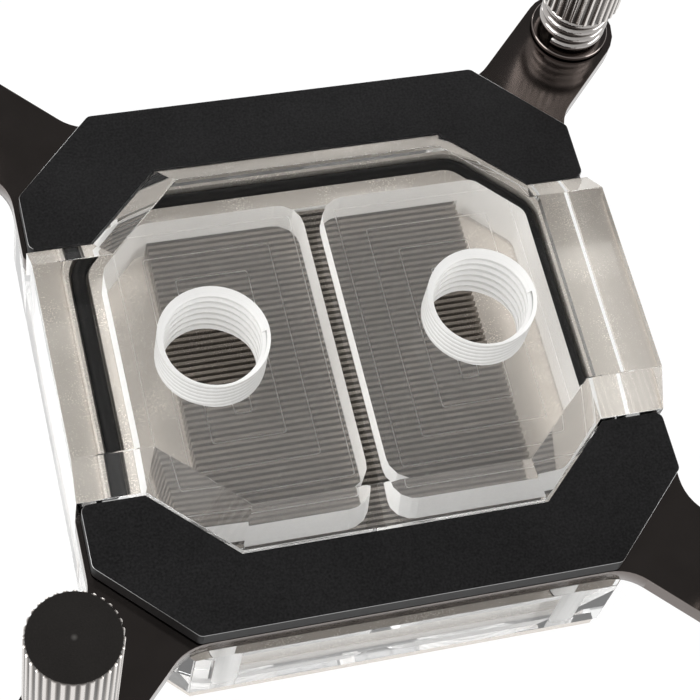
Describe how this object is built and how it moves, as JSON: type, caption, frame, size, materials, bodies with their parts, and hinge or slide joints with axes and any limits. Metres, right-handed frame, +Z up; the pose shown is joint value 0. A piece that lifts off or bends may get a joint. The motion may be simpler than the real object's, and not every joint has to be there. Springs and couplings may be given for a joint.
{
  "type": "cpu water block",
  "caption": "Liquid cooling block with a clear sloped top over a finned cold plate, two threaded ports, dark wrap-round covers and sprung thumb screws on diagonal arms.",
  "frame": {"origin": "middle of the cold plate's underside, the face that sits on the processor", "axes": "+Z up out of the ports, +X from the left port to the right port, the front cover at -Y"},
  "size_m": [0.0918, 0.0918, 0.0408],
  "materials": {
    "clear_acrylic": "clear cast acrylic, polished outside, milled and frosted inside",
    "nickel_plated_copper": "satin nickel plating over copper, polished land",
    "black_anodised_aluminium": "black anodised, fine bead-blasted satin",
    "black_nickel_steel": "dark polished black nickel",
    "turned_nickel": "turned and fluted, nickel sides, dark satin end",
    "polished_spring_steel": "bright polished wire",
    "black_screw_steel": "black oxide",
    "black_rubber": "matt black"
  },
  "bodies": {
    "block": {"cold_plate": "nickel_plated_copper", "acrylic_top": "clear_acrylic", "main_seal": "black_rubber", "front_cover": "black_anodised_aluminium", "back_cover": "black_anodised_aluminium", "front_bracket": "black_nickel_steel", "back_bracket": "black_nickel_steel", "clamp_screw_front_left": "black_screw_steel", "clamp_screw_front_right": "black_screw_steel", "clamp_screw_back_left": "black_screw_steel", "clamp_screw_back_right": "black_screw_steel", "spring_seat_front_left": "turned_nickel", "spring_seat_front_right": "turned_nickel", "spring_seat_back_left": "turned_nickel", "spring_seat_back_right": "turned_nickel"},
    "press_front_left": {"retaining_clip_front_left": "polished_spring_steel", "spring_front_left": "polished_spring_steel"},
    "thumb_front_left": {"thumb_screw_front_left": "turned_nickel"},
    "press_front_right": {"retaining_clip_front_right": "polished_spring_steel", "spring_front_right": "polished_spring_steel"},
    "thumb_front_right": {"thumb_screw_front_right": "turned_nickel"},
    "press_back_left": {"retaining_clip_back_left": "polished_spring_steel", "spring_back_left": "polished_spring_steel"},
    "thumb_back_left": {"thumb_screw_back_left": "turned_nickel"},
    "press_back_right": {"retaining_clip_back_right": "polished_spring_steel", "spring_back_right": "polished_spring_steel"},
    "thumb_back_right": {"thumb_screw_back_right": "turned_nickel"}
  },
  "joints": [
    {"name": "press_in_front_left", "type": "slide", "parent": "block", "child": "press_front_left", "axis": [0, 0, 1], "range_m": [-0.001, 0], "stiffness_N_per_m": 14300, "springref_m": 0.001, "deforming": ["spring_front_left"]},
    {"name": "turn_front_left", "type": "hinge", "parent": "press_front_left", "child": "thumb_front_left", "pos_m": [-0.04, -0.04, 0.03], "axis": [0, 0, 1], "continuous": true},
    {"name": "press_in_front_right", "type": "slide", "parent": "block", "child": "press_front_right", "axis": [0, 0, 1], "range_m": [-0.001, 0], "stiffness_N_per_m": 14300, "springref_m": 0.001, "deforming": ["spring_front_right"]},
    {"name": "turn_front_right", "type": "hinge", "parent": "press_front_right", "child": "thumb_front_right", "pos_m": [0.04, -0.04, 0.03], "axis": [0, 0, 1], "continuous": true},
    {"name": "press_in_back_left", "type": "slide", "parent": "block", "child": "press_back_left", "axis": [0, 0, 1], "range_m": [-0.001, 0], "stiffness_N_per_m": 14300, "springref_m": 0.001, "deforming": ["spring_back_left"]},
    {"name": "turn_back_left", "type": "hinge", "parent": "press_back_left", "child": "thumb_back_left", "pos_m": [-0.04, 0.04, 0.03], "axis": [0, 0, 1], "continuous": true},
    {"name": "press_in_back_right", "type": "slide", "parent": "block", "child": "press_back_right", "axis": [0, 0, 1], "range_m": [-0.001, 0], "stiffness_N_per_m": 14300, "springref_m": 0.001, "deforming": ["spring_back_right"]},
    {"name": "turn_back_right", "type": "hinge", "parent": "press_back_right", "child": "thumb_back_right", "pos_m": [0.04, 0.04, 0.03], "axis": [0, 0, 1], "continuous": true}
  ]
}
